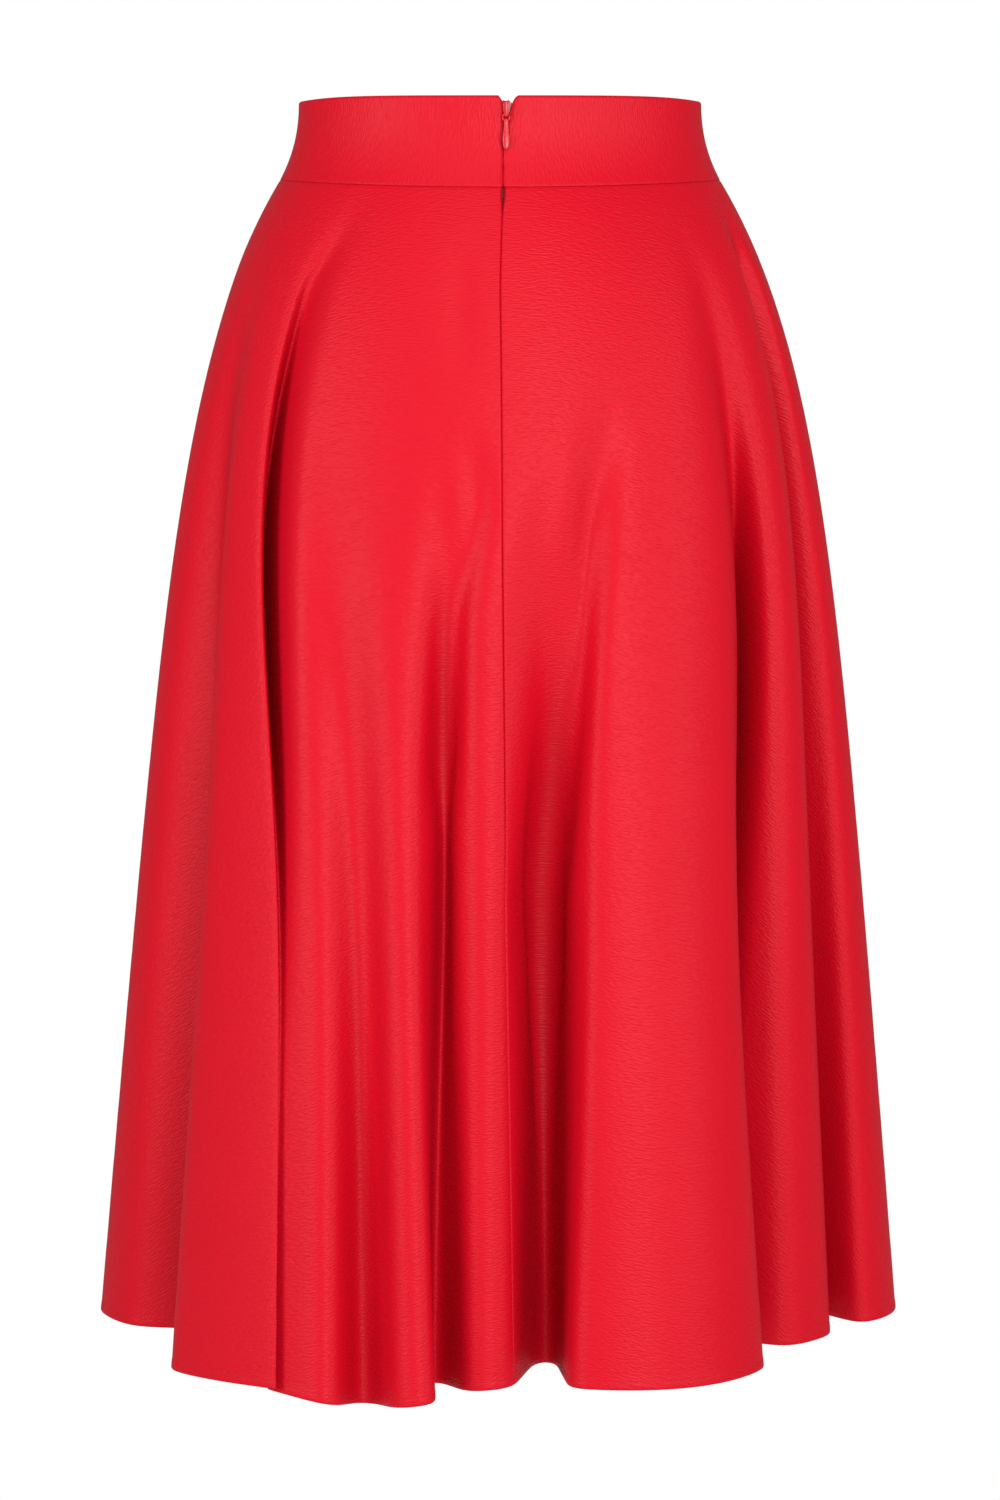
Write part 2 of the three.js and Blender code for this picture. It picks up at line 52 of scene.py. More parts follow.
# ---- Driving dimensions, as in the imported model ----

WAIST_X, WAIST_Y, WAIST_Z = 127.0, 97.0, 27.0
SEAM_X, SEAM_Y, SEAM_Z = 139.0, 108.0, -29.0
BAND_CURVE = 2.2
BAND_HEIGHT = WAIST_Z - SEAM_Z
SIDE_DIP, FRONT_DIP, SEAM_SIDE_LIFT = 3.5, 4.5, 3.5
LENGTH = 725.0
HIP_X, HIP_Y, HIP_DEPTH = 58.5, 52.0, 110.0
FLARE = 0.078
FOLD_EASE, FOLD_GROWTH = 0.05, 0.85
TUCK_REACH, SHIFT_REACH, SHIFT_WIDTH = 150.0, 200.0, 70.0
TUCK_START = 60.0  # tucks and shifts reach their full size this far below the seam
TOP_SOFTENING, CORNER_SOFTENING = 30, 9
CUT_RADIUS = 248.0  # of the half circle's waist edge
COLUMNS = 640
CREST_STEPS = 6
CENTRE_BACK_AT_HEM = (13, -200)

# The folds as they stand at the hem in plan, a row for each flute from the centre back round to +X: its
# edges, how far its crest bulges between them, the middle of the valley after it and that floor's width.
# Drop is how much lower the hem hangs, and start how far below the seam the cloth breaks, both at the two
# edges and in the valley. Tuck is how much deeper than the even fold the valley is where it is tightest, how
# wide the tuck is there, how far below the seam that is, how far it slips sideways under a neighbour, and how
# far round its upper end lies from the valley's line. Shift is how far the whole fold lies round from its
# place, and how far below the seam it does so most.
FLUTES = [
    dict(  # centre back
        edges=((-20, -213), (8, -209)), bulge=3, valley=(28, -130), floor=13,
        drop=(3, 1, 4), start=(190, 190, 150), tuck=(14, 16, 520, 0, -8), shift=(0, 0)),
    dict(  # right back
        edges=((42, -217), (167, -156)), bulge=31, valley=(130, -84), floor=16,
        drop=(0, 0, 0), start=(190, 60, 20), tuck=(64, 11, 370, 46, 0), shift=(18, 250)),
    dict(  # right hip
        edges=((180, -104), (213, -64)), bulge=3, valley=(194, 4), floor=14,
        drop=(0, 0, 0), start=(50, 40, 30), tuck=(58, 9, 260, 14, 0), shift=(0, 0)),
    dict(  # right side
        edges=((231, -38), (258, 24)), bulge=9, valley=(175, 46), floor=25,
        drop=(0, 0, 0), start=(40, 40, 40), tuck=(8, 12, 300, 0, 0), shift=(0, 0)),
    dict(  # right fore side
        edges=((240, 86), (206, 140)), bulge=4, valley=(145, 109), floor=28,
        drop=(0, 0, 0), start=(60, 70, 40), tuck=(24, 11, 300, -8, 0), shift=(0, 0)),
    dict(  # right front
        edges=((160, 190), (104, 216)), bulge=4, valley=(79, 142), floor=26,
        drop=(0, 0, 0), start=(120, 140, 110), tuck=(8, 12, 400, 0, 0), shift=(0, 0)),
    dict(  # centre front
        edges=((56, 226), (-8, 230)), bulge=4, valley=(-22, 148), floor=22,
        drop=(0, 0, 0), start=(180, 180, 150), tuck=(10, 12, 430, 0, 0), shift=(0, 0)),
    dict(  # left centre front
        edges=((-50, 228), (-116, 212)), bulge=5, valley=(-110, 136), floor=25,
        drop=(0, 0, 0), start=(160, 130, 60), tuck=(24, 11, 320, 6, 0), shift=(0, 0)),
    dict(  # left front
        edges=((-168, 180), (-214, 128)), bulge=4, valley=(-161, 87), floor=26,
        drop=(0, 0, 0), start=(90, 70, 60), tuck=(18, 11, 280, 6, 0), shift=(0, 0)),
    dict(  # left fore side
        edges=((-240, 84), (-248, 54)), bulge=4, valley=(-183, 33), floor=26,
        drop=(0, 0, 0), start=(60, 50, 40), tuck=(8, 12, 300, 0, 0), shift=(0, 0)),
    dict(  # left side
        edges=((-262, 14), (-234, -46)), bulge=5, valley=(-178, -64), floor=22,
        drop=(0, 0, 0), start=(50, 50, 50), tuck=(4, 12, 300, 0, 0), shift=(0, 0)),
    dict(  # left hip
        edges=((-209, -134), (-131, -215)), bulge=6, valley=(-143, -198), floor=8,
        drop=(7, 1, 5), start=(50, 50, 20), tuck=(42, 10, 250, -44, 0), shift=(-24, 170)),
    dict(  # left back
        edges=((-117, -218), (-100, -224)), bulge=2, valley=(-81, -189), floor=12,
        drop=(7, 9, 16), start=(90, 150, 140), tuck=(0, 12, 400, 0, 0), shift=(0, 0)),
    dict(  # left centre back
        edges=((-63, -230), (-37, -230)), bulge=3, valley=(-41, -170), floor=9,
        drop=(9, 6, 7), start=(190, 210, 150), tuck=(15, 12, 430, 0, 0), shift=(0, 0)),
]

# The lips of the back opening, a row for each height below the top edge
LIPS = [
    dict(below=0, left=-1.0, right=11.4),
    dict(below=1.2, left=-0.2, right=9.6),
    dict(below=4, left=1.9, right=7.8),
    dict(below=11, left=1.8, right=6.0),
    dict(below=22, left=1.8, right=3.4),
    dict(below=34, left=1.7, right=2.1),
    dict(below=45, left=1.7, right=2.0),
    dict(below=BAND_HEIGHT, left=1.7, right=2.0),
]


def bell(distance, reach):
    """1 at no distance, falling smoothly towards 0 a few reaches away."""
    return np.exp(-(distance / reach) ** 2)


# ---- Rings ----

def mean_ring(depth):
    """Half axes of the skirt's mean ring at a depth below the seam."""
    hip = 1 - math.exp(-depth / HIP_DEPTH)
    return SEAM_X + HIP_X * hip + FLARE * depth, SEAM_Y + HIP_Y * hip + FLARE * depth


def band_ring(share):
    """Half axes of the band's ring at a share of the way from its top edge to the seam."""
    out = share ** BAND_CURVE
    return WAIST_X + (SEAM_X - WAIST_X) * out, WAIST_Y + (SEAM_Y - WAIST_Y) * out


def on_ellipse(half_x, half_y, angle):
    return np.stack([half_x * np.sin(angle), -half_y * np.cos(angle)], -1)


def top_edge_height(angle):
    front = SIDE_DIP + (FRONT_DIP - SIDE_DIP) * np.cos(angle) ** 2
    return WAIST_Z - np.where(np.cos(angle) < 0, front, SIDE_DIP * np.sin(angle) ** 6)


def seam_height(angle):
    return SEAM_Z + SEAM_SIDE_LIFT * np.sin(angle) ** 2


def even_angles(count):
    """The angles that mark off equal lengths round the seam, starting at the back."""
    fine = np.linspace(0, 2 * math.pi, 4001)
    steps = np.linalg.norm(np.diff(on_ellipse(SEAM_X, SEAM_Y, fine), axis=0), axis=1)
    lengths = np.concatenate([[0], np.cumsum(steps)])
    return np.interp(np.arange(count) / count * lengths[-1], lengths, fine)


# ---- The skirt's folds ----

def smooth(ring, passes):
    for _ in range(passes):
        ring = (np.roll(ring, 1, 0) + 2 * ring + np.roll(ring, -1, 0)) / 4
    return ring


def hem_corners():
    """The hem's outline as corners: x, y, start and drop along each crest and across each valley."""
    corners = []
    for flute in FLUTES:
        first, last = (np.array(edge, float) for edge in flute["edges"])
        along = last - first
        out = np.array([along[1], -along[0]]) / np.linalg.norm(along)
        for step in range(CREST_STEPS + 1):
            part = step / CREST_STEPS
            point = first + along * part + out * 4 * part * (1 - part) * flute["bulge"]
            corners.append([*point, *(np.interp(part, (0, 1), flute[key][:2]) for key in ("start", "drop"))])
        middle = np.array(flute["valley"], float)
        half_floor = np.array([-middle[1], middle[0]]) / np.linalg.norm(middle) * flute["floor"] / 2
        for end in (middle - half_floor, middle + half_floor):
            corners.append([*end, flute["start"][2], flute["drop"][2]])
    return np.array(corners)


def nearest_column(points, place):
    return int(np.argmin(np.linalg.norm(points[:, :2] - place, axis=1)))


def hem_outline():
    """The same outline as evenly spaced points with rounded corners, from the centre back seam."""
    corners = hem_corners()
    closed = np.vstack([corners, corners[:1]])
    lengths = np.concatenate([[0], np.cumsum(np.linalg.norm(np.diff(closed[:, :2], axis=0), axis=1))])
    places = np.arange(COLUMNS) / COLUMNS * lengths[-1]
    points = np.stack([np.interp(places, lengths, column) for column in closed.T], -1)
    points[:, :2] = smooth(points[:, :2], CORNER_SOFTENING)
    points[:, 2:] = smooth(points[:, 2:], 2 * CORNER_SOFTENING)
    return np.roll(points, -nearest_column(points, CENTRE_BACK_AT_HEM), axis=0)


HEM = hem_outline()
SEAM_ANGLES = even_angles(COLUMNS)
HEM_RING = mean_ring(LENGTH)


def tucks_and_shifts(depth, mean):
    """How far the tucked and shifted valleys move each column of the mean ring, at a depth below the seam."""
    inward = -mean / np.linalg.norm(mean, axis=1, keepdims=True)
    onward = np.roll(mean, -1, 0) - mean
    onward /= np.linalg.norm(onward, axis=1, keepdims=True)
    move = np.zeros_like(mean)
    for flute in FLUTES:
        deep, width, tightest, slip, aside = flute["tuck"]
        shift, furthest = flute["shift"]
        away = np.arange(COLUMNS) - nearest_column(HEM, flute["valley"])
        away = ((away + COLUMNS / 2) % COLUMNS - COLUMNS / 2) * (CUT_RADIUS + depth) * math.pi / COLUMNS
        from_tuck = away - aside * (1 - depth / LENGTH)
        tuck = bell(depth - tightest, TUCK_REACH) * bell(from_tuck, width)[:, None]
        move += tuck * (inward * deep + onward * slip)
        near = bell(depth - furthest, SHIFT_REACH) * bell(away, SHIFT_WIDTH)
        move += near[:, None] * onward * shift
    return move * min(1.0, depth / TUCK_START)


def skirt_section(share):
    """One ring of the skirt's outer face, at a share of the way from the seam to the hem."""
    depth = LENGTH * share
    ring = mean_ring(depth)
    mean = on_ellipse(*ring, SEAM_ANGLES)
    start, drop = HEM[:, 2], HEM[:, 3]
    reached = np.clip((depth - start) / (LENGTH - start), 0, 1)
    strength = (1 + FOLD_EASE) * reached ** (1 + FOLD_GROWTH) / (reached + FOLD_EASE)
    folds = (HEM[:, :2] * ring / HEM_RING - mean) * strength[:, None]
    plan = mean + smooth(folds, round(TOP_SOFTENING * (1 - share) ** 1.5)) + tucks_and_shifts(depth, mean)
    wave = (seam_height(SEAM_ANGLES) - SEAM_Z) * (1 - share)
    return np.column_stack([plan, SEAM_Z + wave - depth - drop * share ** 2])


# How finely the cloth is divided: rows crowd towards the seam, and the hem has rows of its own
ROWS = 96
ROW_CROWDING = 1.25
SEAM_ROWS = (0.4, 0.9, 1.6, 2.6)  # below the waist seam
HEM_ROWS = (9, 7, 6.2, 5.6, 5, 4.2, 2.5, 1.2, 0.5, 0)  # above the hem's edge
HEM_ROWS_START = 12.0  # where the even rows stop, above the edge
SEAM_COLUMNS = (0.0, 0.11, 0.22, 0.35, 0.52, 0.76)  # shares of the first column, beside each seam

# The cloth and its edges: deep is how far it dips there, and reach how wide the dip is
CLOTH = 0.5
SEAM_ROLL = dict(deep=1.0, reach=0.5)  # at the side seams and the centre back
WAIST_SINK = dict(deep=0.25, reach=0.8)  # under the band
TOP_TUCKED_UNDER = 0.2  # how far the skirt's top row goes up behind the band
HEM_EDGE = dict(deep=0.45, reach=0.45)  # how both faces round off at the hem's very edge
HEM_TURN = 6.0  # the height of the hem's turning
HEM_TURN_STEP = 0.35  # how sharply the turning's upper edge shows
HEM_TURN_OUT, HEM_TURN_IN = 0.25, 0.9  # how much thicker the turning makes the cloth
HEM_STITCH = 5.0  # the stitching that holds it, above the edge
STITCH_DENT = dict(deep=0.22, reach=0.5)
ZIP_ASIDE = dict(distance=2.0, reach=35.0)  # the zip and the centre back seam start to +X of the middle
GAPE = dict(wide=1.3, middle=4.0, reach=6.0, across=3.0)  # the zip's lips part a little below the waist seam


def row_shares():
    """How far down the skirt each row of points lies, as shares of its length."""
    body = (np.arange(ROWS) / ROWS) ** ROW_CROWDING * (LENGTH - HEM_ROWS_START) / LENGTH
    seam = np.array(SEAM_ROWS) / LENGTH
    hem = 1 - np.array(HEM_ROWS) / LENGTH
    return np.unique(np.concatenate([body, seam, hem]))


def surface_normals(grid):
    """Outward unit normals of closed rings of points."""
    across = np.roll(grid, -1, 1) - np.roll(grid, 1, 1)
    up = np.empty_like(grid)
    up[1:-1] = grid[:-2] - grid[2:]
    up[0], up[-1] = grid[0] - grid[1], grid[-2] - grid[-1]
    normals = np.cross(across, up)
    return normals / np.linalg.norm(normals, axis=2, keepdims=True)


# Soft troughs, a row for each: where it runs, as x and depth below the seam, how deep and how wide it is, how
# far it takes to reach that depth and to lose it, and which side of the skirt it is on: -1 is the back and 1
# the front
CREASES = [
    dict(run=((-20, 130), (-13, 191), (-30, 259), (-38, 400)), deep=5.0, width=10, fade=(90, 60), side=-1),
    dict(run=((-25, 20), (-22, 130)), deep=1.5, width=9, fade=(50, 60), side=-1),
    dict(run=((70, 110), (50, 243), (25, 430), (30, 660)), deep=12.0, width=13, fade=(120, 240), side=-1),
    dict(run=((70, 160), (76, 470), (82, 760)), deep=18.0, width=22, fade=(300, 60), side=1),
    dict(run=((18, 120), (12, 190), (30, 260), (38, 390)), deep=4.0, width=9, fade=(70, 60), side=1),
    dict(run=((-66, 130), (-52, 250), (-30, 430), (-24, 560)), deep=9.0, width=14, fade=(110, 60), side=1),
]


def crease_depths(grid, normals):
    """How deep the troughs lie at each point of the skirt."""
    total = np.zeros(grid.shape[:2])
    below = SHARES * LENGTH
    for crease in CREASES:
        middle = np.interp(below, [depth for _, depth in crease["run"]], [x for x, _ in crease["run"]])
        start, end = crease["run"][0][1], crease["run"][-1][1]
        fade_in, fade_out = crease["fade"]
        reach = np.clip(np.minimum((below - start) / fade_in, (end - below) / fade_out), 0, 1)
        reach = reach * reach * (3 - 2 * reach)
        facing = np.clip(normals[..., 1] * crease["side"] * 2, 0, 1)
        across = bell(grid[..., 0] - middle[:, None], crease["width"])
        total += crease["deep"] * reach[:, None] * facing * across
    return total


def creased_skirt():
    """The skirt's outer face as rings of points, with its centre back seam beside the zip and its troughs."""
    grid = np.array([skirt_section(share) for share in SHARES])
    beside_zip = bell(grid[..., 0], ZIP_ASIDE["reach"]) * (grid[..., 1] < 0)
    grid[..., 0] += ZIP_ASIDE["distance"] * (1 - SHARES[:, None]) * beside_zip
    normals = surface_normals(grid)
    return grid - normals * crease_depths(grid, normals)[..., None]


SHARES = row_shares()
SKIRT = creased_skirt()
SKIRT_NORMALS = surface_normals(SKIRT)


# ---- Meshes ----

def mesh_object(name, points, faces, material, grain=None):
    """A mesh from points in millimetres, smooth, with the cloth's own flat coordinates as an attribute."""
    mesh = bpy.data.meshes.new(name)
    mesh.from_pydata((np.asarray(points, float) * MM).tolist(), [], faces)
    mesh.validate()
    mesh.shade_smooth()
    if grain is not None:
        attribute = mesh.attributes.new("grain", "FLOAT_VECTOR", "POINT")
        attribute.data.foreach_set("vector", np.asarray(grain, np.float32).ravel())
    mesh.materials.append(material)
    piece = bpy.data.objects.new(name, mesh)
    bpy.context.scene.collection.objects.link(piece)
    return piece


def wall_faces(rows, columns):
    """Faces of a closed wall: an outer grid of points followed by an inner one."""
    def outer(i, j):
        return i * columns + j

    def inner(i, j):
        return rows * columns + i * columns + j

    faces = []
    for i in range(rows - 1):
        for j in range(columns - 1):
            faces.append((outer(i, j), outer(i + 1, j), outer(i + 1, j + 1), outer(i, j + 1)))
            faces.append((inner(i, j), inner(i, j + 1), inner(i + 1, j + 1), inner(i + 1, j)))
        end = columns - 1
        faces.append((inner(i, 0), inner(i + 1, 0), outer(i + 1, 0), outer(i, 0)))
        faces.append((outer(i, end), outer(i + 1, end), inner(i + 1, end), inner(i, end)))
    low = rows - 1
    for j in range(columns - 1):
        faces.append((outer(0, j), outer(0, j + 1), inner(0, j + 1), inner(0, j)))
        faces.append((outer(low, j), inner(low, j), inner(low, j + 1), outer(low, j + 1)))
    return faces


# ---- The skirt's panels ----

QUARTER = COLUMNS // 4
PANELS = [
    dict(name="back_panel_right", node="skirt_back_right", band="band_back_right",
         first=0, last=QUARTER, middle=0, sweep=math.pi / 4, side=1),
    dict(name="front_panel", node="skirt_front", band="band_front",
         first=QUARTER, last=3 * QUARTER, middle=2 * QUARTER, sweep=math.pi / 2, side=0),
    dict(name="back_panel_left", node="skirt_back_left", band="band_back_left",
         first=3 * QUARTER, last=COLUMNS, middle=COLUMNS, sweep=math.pi / 4, side=-1),
]


def panel_places(first, last):
    """Places along the rings, in columns, with extra ones beside the seams at both ends."""
    near = first + np.array(SEAM_COLUMNS)
    far = last - np.array(SEAM_COLUMNS)[::-1]
    return np.concatenate([near, np.arange(first + 1, last), far])


def at_places(grid, places):
    """Columns of a closed grid at places that may lie between its own."""
    low = np.floor(places).astype(int)
    part = (places - low)[None, :, None]
    return grid[:, low % COLUMNS] * (1 - part) + grid[:, (low + 1) % COLUMNS] * part


def flat_coordinates(places, middle):
    """Where each point lies on the flat cut, in metres, with y along the cloth's own length."""
    turn = (places - middle) / COLUMNS * math.pi
    radius = (CUT_RADIUS + LENGTH * SHARES)[:, None] * MM
    return np.stack([radius * np.sin(turn), -radius * np.cos(turn), np.zeros((len(SHARES), len(places)))], -1)


def distance_from_ends(grid):
    """How far each point is along its row from the first point, and from the last."""
    steps = np.linalg.norm(np.diff(grid, axis=1), axis=2)
    lengths = np.concatenate([np.zeros((len(grid), 1)), np.cumsum(steps, axis=1)], axis=1)
    return lengths, lengths[:, -1:] - lengths


def part_lips(outer, below, side):
    """Moves a back panel's cloth aside at the top of the back opening: side is 1 for the right panel."""
    beside = bell(outer[..., 0] - LIPS[-1]["right"], GAPE["across"]) * (outer[..., 1] < 0)
    outer[..., 0] += side * GAPE["wide"] * bell(below - GAPE["middle"], GAPE["reach"]) * beside


def dip(edge, distance):
    """How far the cloth dips at a distance from one of its edges."""
    return edge["deep"] * bell(distance, edge["reach"])


def panel_offsets(below, from_seam):
    """How far a panel's outer and inner faces lie outside the skirt's own surface."""
    from_hem = (1 - SHARES)[:, None] * LENGTH
    out = -dip(SEAM_ROLL, from_seam) - dip(WAIST_SINK, below)
    turned = 1 / (1 + np.exp((from_hem - HEM_TURN) / HEM_TURN_STEP))
    rounding = dip(HEM_EDGE, from_hem)
    face = out + HEM_TURN_OUT * turned - dip(STITCH_DENT, from_hem - HEM_STITCH) - rounding
    back = out - CLOTH - HEM_TURN_IN * turned + rounding
    return face[..., None], back[..., None]


def skirt_panel(panel, material):
    """One panel of the skirt, a wall with rolled seams and a turned and stitched hem."""
    places = panel_places(panel["first"], panel["last"])
    outer = at_places(SKIRT, places)
    normals = at_places(SKIRT_NORMALS, places)
    from_seam = np.minimum(*distance_from_ends(outer))
    below = SHARES[:, None] * LENGTH
    outer[0, :, 2] += TOP_TUCKED_UNDER
    if panel["side"]:
        part_lips(outer, below, panel["side"])
    face, back = panel_offsets(below, from_seam)
    points = np.vstack([(outer + normals * face).reshape(-1, 3), (outer + normals * back).reshape(-1, 3)])
    grain = flat_coordinates(places, panel["middle"]).reshape(-1, 3)
    faces = wall_faces(*outer.shape[:2])
    piece = mesh_object(panel["name"], points, faces, material, np.vstack([grain, grain]))
    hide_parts(panel["node"])
    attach(piece, GARMENT)


# ---- The waistband ----

BAND_ROWS = 40
BAND_PIECES = [
    dict(name="band_back_right", node="waistband_back_right", columns=90),
    dict(name="band_front", node="waistband_front", columns=170),
    dict(name="band_back_left", node="waistband_back_left", columns=90),
]
BAND_THICK = 1.8
BAND_GAP = 0.15  # half the gap between the band's pieces, and the gap above the waist seam
BAND_LOW_EDGE = dict(deep=0.15, reach=0.8)  # at the waist seam
BAND_END = dict(deep=0.8, reach=1.0)  # at its pieces' ends
BAND_FOLD = dict(deep=0.8, reach=0.8)  # the fold along its top edge
END_CROWDING = 0.25  # how strongly points crowd towards a piece's ends


def lip(side, below):
    """How far to +X of the middle a lip of the back opening lies."""
    return np.interp(below, [row["below"] for row in LIPS], [row[side] for row in LIPS])


def band_ends(node, share, ring):
    """The angles at which a piece of the band starts and ends, at a height."""
    gap = BAND_GAP / WAIST_Y
    quarter = math.pi / 2
    if node == "waistband_front":
        return quarter + gap, 3 * quarter - gap
    if node == "waistband_back_right":
        return math.asin(lip("right", share * BAND_HEIGHT) / ring[0]), quarter - gap
    return gap - quarter, math.asin(lip("left", share * BAND_HEIGHT) / ring[0])


def spread(count):
    """Shares of a length, closer together at both ends."""
    even = np.linspace(0, 1, count)
    return (1 - END_CROWDING) * even + END_CROWDING * (1 - np.cos(math.pi * even)) / 2


def band_grids(band, shares, across):
    """The points of a piece's outer face, their outward normals and their places on the flat cloth."""
    grid, normals, grain = [], [], []
    for share in shares:
        ring = band_ring(share)
        start, end = band_ends(band["node"], share, ring)
        angle = start + (end - start) * across
        plan = on_ellipse(*ring, angle)
        top, low = top_edge_height(angle), seam_height(angle) + BAND_GAP
        grid.append(np.column_stack([plan, top + (low - top) * share]))
        outward = plan / np.square(ring)
        outward /= np.linalg.norm(outward, axis=1, keepdims=True)
        normals.append(np.column_stack([outward, np.zeros(len(angle))]))
        round_band = angle * (WAIST_X + WAIST_Y) / 2 * MM
        grain.append(np.column_stack([round_band, -share * BAND_HEIGHT * MM + 0 * angle, 0 * angle]))
    return np.array(grid), np.array(normals), np.array(grain)


def band_piece(band, material):
    """One piece of the waistband, a wall with rounded edges and a fold along its top."""
    shares = spread(BAND_ROWS)
    across = spread(band["columns"])
    grid, normals, grain = band_grids(band, shares, across)
    from_first, from_last = distance_from_ends(grid)
    above = (1 - shares)[:, None] * BAND_HEIGHT
    roll = dip(BAND_LOW_EDGE, above) + dip(BAND_END, np.minimum(from_first, from_last))
    fold = dip(BAND_FOLD, shares[:, None] * BAND_HEIGHT)
    face = grid - normals * (roll + fold)[..., None]
    back = grid - normals * (BAND_THICK - fold)[..., None]
    points = np.vstack([face.reshape(-1, 3), back.reshape(-1, 3)])
    faces = wall_faces(len(shares), len(across))
    flat = grain.reshape(-1, 3)
    piece = mesh_object(band["name"], points, faces, material, np.vstack([flat, flat]))
    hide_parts(band["node"])
    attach(piece, GARMENT)


# ---- Threads and wires ----

def tubes(paths, radii, sides):
    """Points and faces of round tubes, one along each path, closed at both ends."""
    along = np.gradient(paths, axis=1)
    along /= np.linalg.norm(along, axis=2, keepdims=True)
    side = np.cross(along, (0.0, 0.5, 1.0))
    side /= np.linalg.norm(side, axis=2, keepdims=True)
    up = np.cross(side, along)
    angle = np.arange(sides)[:, None] / sides * 2 * math.pi
    spokes = side[:, :, None] * np.cos(angle) + up[:, :, None] * np.sin(angle)
    points = paths[:, :, None] + spokes * np.reshape(radii, (-1, 1, 1))
    count, steps = paths.shape[:2]
    faces = []
    for first in range(0, count * steps * sides, steps * sides):
        for here in range(first, first + (steps - 1) * sides, sides):
            for j in range(sides):
                right = (j + 1) % sides
                faces.append((here + j, here + sides + j, here + sides + right, here + right))
        last = first + (steps - 1) * sides
        faces.append(tuple(range(first, first + sides)))
        faces.append(tuple(range(last + sides - 1, last - 1, -1)))
    return points.reshape(-1, 3), faces


STITCH = dict(pitch=3.2, long=2.5, radius=0.15, out=0.1)
STITCH_PLACES = (0, 0.2, 0.8, 1)  # shares of a stitch's length
STITCH_SWELLING = (0.3, 1, 1, 0.3)  # shares of its radius at those places
THREAD_SIDES = 6


def hem_stitches(material):
    """The row of stitches that holds the hem's turning."""
    row = int(np.argmin(np.abs((1 - SHARES) * LENGTH - HEM_STITCH)))
    ring = SKIRT[row] + SKIRT_NORMALS[row] * STITCH["out"]
    ring = np.vstack([ring, ring[:1]])
    lengths = np.concatenate([[0], np.cumsum(np.linalg.norm(np.diff(ring, axis=0), axis=1))])
    starts = np.arange(0, lengths[-1] - STITCH["pitch"], STITCH["pitch"])
    places = starts[:, None] + np.array(STITCH_PLACES) * STITCH["long"]
    paths = np.stack([np.interp(places, lengths, column) for column in ring.T], -1)
    points, faces = tubes(paths, np.array(STITCH_SWELLING) * STITCH["radius"], THREAD_SIDES)
    piece = mesh_object("hem_stitches", points, faces, material)
    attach(piece, GARMENT)


# ---- The zip ----

HINGE = np.array(frame["joints"][0]["pos_m"]) / MM
ZIP_LENGTH = 200.0  # from the band's top edge
TAPE = dict(below=3.0, depth=2.75, width=12.0, behind_lip=0.4, thick=0.5)
TAPE_ROWS, TAPE_COLUMNS = 90, 9
COIL = dict(below=15.2, depth=4.05, width=4.2, thick=1.6, pitch=1.25, wire=0.27)
COIL_STEPS = 12  # to a turn


def inside_back(x, z, depth):
    """A point a given depth inside the back's outer face."""
    ring = np.array(band_ring((WAIST_Z - z) / BAND_HEIGHT) if z > SEAM_Z else mean_ring(SEAM_Z - z))
    plan = on_ellipse(*ring, math.asin(x / ring[0]))
    outward = plan / ring ** 2
    return np.array([*(plan - outward / np.linalg.norm(outward) * depth), z])


def zip_tape(name, node, side, material):
    """One woven tape, a strip behind its lip down the inside of the back."""
    below = np.linspace(TAPE["below"], ZIP_LENGTH, TAPE_ROWS)
    reach = TAPE["behind_lip"] + np.linspace(0, TAPE["width"], TAPE_COLUMNS)
    outward = reach if side == "right" else -reach[::-1]

    def face(depth):
        return [inside_back(lip(side, row) + x, WAIST_Z - row, depth) for row in below for x in outward]

    points = face(TAPE["depth"]) + face(TAPE["depth"] + TAPE["thick"])
    across, along = np.meshgrid(outward, -below)
    flat = np.stack([across, along, 0 * along], -1).reshape(-1, 3) * MM
    faces = wall_faces(TAPE_ROWS, TAPE_COLUMNS)
    piece = mesh_object(name, points, faces, material, np.vstack([flat, flat]))
    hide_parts(node)
    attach(piece, GARMENT)


def zip_coil(material):
    """The closed teeth: a flattened helix of nylon from the slider down."""
    turns = (ZIP_LENGTH - COIL["below"]) / COIL["pitch"]
    steps = int(turns * COIL_STEPS)
    half_width = COIL["width"] / 2 - COIL["wire"]
    half_thick = COIL["thick"] / 2 - COIL["wire"]
    path = []
    for i in range(steps + 1):
        angle = 2 * math.pi * i / COIL_STEPS
        below = COIL["below"] + COIL["wire"] + (ZIP_LENGTH - COIL["below"] - 2 * COIL["wire"]) * i / steps
        middle = (lip("left", below) + lip("right", below)) / 2
        depth = COIL["depth"] + COIL["thick"] / 2 + half_thick * math.sin(angle)
        path.append(inside_back(middle + half_width * math.cos(angle), WAIST_Z - below, depth))
    points, faces = tubes(np.array([path]), [COIL["wire"]] * len(path), THREAD_SIDES)
    piece = mesh_object("zip_teeth", points, faces, material)
    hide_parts("zip_coil")
    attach(piece, GARMENT)


CHEEKS = dict(top=24.0, bottom=15.5, steps=12, apart=1.5, together=0.9, depth=0.5, radius=0.85, sides=12)
CHEEK_BLUNTNESS = 0.12  # radians of the round left off each end
SLIDER_WELD, SLIDER_BEVEL = 0.01, 0.3
RING = dict(width=5.1, height=5.4, wire=0.9)
PULL_TILT = -8.0  # degrees: the pull lies along the flaring band
DROP_START = 3.2  # below the hinge line
DROP_FLATNESS = 0.4
DROP_PROFILE = [  # half widths, a row for each distance down from the neck's top
    dict(down=0, half=0.9),
    dict(down=0.6, half=1.3),
    dict(down=4, half=1.3),
    dict(down=7, half=1.65),
    dict(down=10, half=2.1),
    dict(down=12.5, half=2.3),
    dict(down=15, half=2.2),
    dict(down=17.2, half=1.75),
    dict(down=18.8, half=1.0),
]
PULL_SIDES = 12


